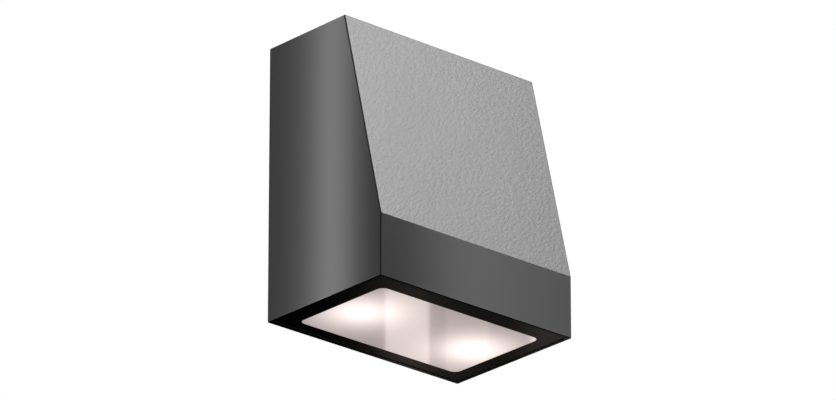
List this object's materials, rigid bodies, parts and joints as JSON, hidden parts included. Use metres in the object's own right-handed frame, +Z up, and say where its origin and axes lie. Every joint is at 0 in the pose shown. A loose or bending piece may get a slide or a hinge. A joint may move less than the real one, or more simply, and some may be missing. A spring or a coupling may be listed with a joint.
{
  "type": "outdoor wall light",
  "caption": "Wedge-shaped outdoor wall light in textured graphite: slanted front panel over a short lip, shining down through a satin glass window with a black border.",
  "frame": {"origin": "centre of the four wall-screw slots, on the face of the wall", "axes": "+Z up, +X along the wall to the right as seen from the room, +Y into the wall, so the front faces -Y"},
  "size_m": [0.18, 0.12, 0.21],
  "materials": {
    "graphite_coat": "textured graphite powder coat on die-cast aluminium",
    "zinc_steel": "zinc-plated sheet and screws",
    "black_rubber": "black moulded rubber and silicone",
    "satin_glass": "toughened glass, satin inside, black fired border",
    "bright_aluminium": "bright anodised",
    "board_white": "white solder mask on aluminium core",
    "emitter_phosphor": "chip-on-board light source",
    "clear_acrylic": "clear moulded lens",
    "thermal_pad": "soft grey pad",
    "white_plastic": "moulded",
    "grey_plastic": "moulded",
    "orange_plastic": "moulded",
    "brown_wire": "insulated wire",
    "blue_wire": "insulated wire",
    "green_wire": "insulated wire, green and yellow",
    "white_wire": "sheathed lead",
    "tinned_copper": "tinned"
  },
  "bodies": {
    "wall_mount": {"wall_bracket": "zinc_steel", "cable_grommet": "black_rubber"},
    "luminaire": {"housing": "graphite_coat", "wall_seal": "black_rubber", "grub_screws": "zinc_steel", "glass": "satin_glass", "glass_gasket": "black_rubber", "glass_bead": "black_rubber", "reflector": "bright_aluminium", "reflector_screws": "zinc_steel", "led_board_left": "board_white", "led_board_right": "board_white", "emitter_left": "emitter_phosphor", "emitter_right": "emitter_phosphor", "lens_left": "clear_acrylic", "lens_right": "clear_acrylic", "thermal_pads": "thermal_pad", "board_screws": "zinc_steel", "led_connectors": "white_plastic", "lead_left": "white_wire", "lead_right": "white_wire", "lead_grommet": "black_rubber", "gear_tray": "zinc_steel", "tray_screws": "zinc_steel", "driver_case": "white_plastic", "driver_cover": "grey_plastic", "driver_screws": "zinc_steel", "terminal_block": "grey_plastic", "terminal_screws": "zinc_steel", "live_wire": "brown_wire", "neutral_wire": "blue_wire", "earth_wire": "green_wire", "earth_ring": "tinned_copper", "earth_screw": "zinc_steel"},
    "button_live": {"button_live": "orange_plastic"},
    "button_neutral": {"button_neutral": "orange_plastic"},
    "button_earth": {"button_earth": "orange_plastic"}
  },
  "joints": [
    {"name": "luminaire_pull_off", "type": "slide", "parent": "wall_mount", "child": "luminaire", "axis": [0, -1, 0], "range_m": [0, 0.06]},
    {"name": "press_live", "type": "slide", "parent": "luminaire", "child": "button_live", "axis": [0, -1, 0], "range_m": [0, 0.002], "stiffness_N_per_m": 1500},
    {"name": "press_neutral", "type": "slide", "parent": "luminaire", "child": "button_neutral", "axis": [0, -1, 0], "range_m": [0, 0.002], "stiffness_N_per_m": 1500},
    {"name": "press_earth", "type": "slide", "parent": "luminaire", "child": "button_earth", "axis": [0, -1, 0], "range_m": [0, 0.002], "stiffness_N_per_m": 1500}
  ]
}
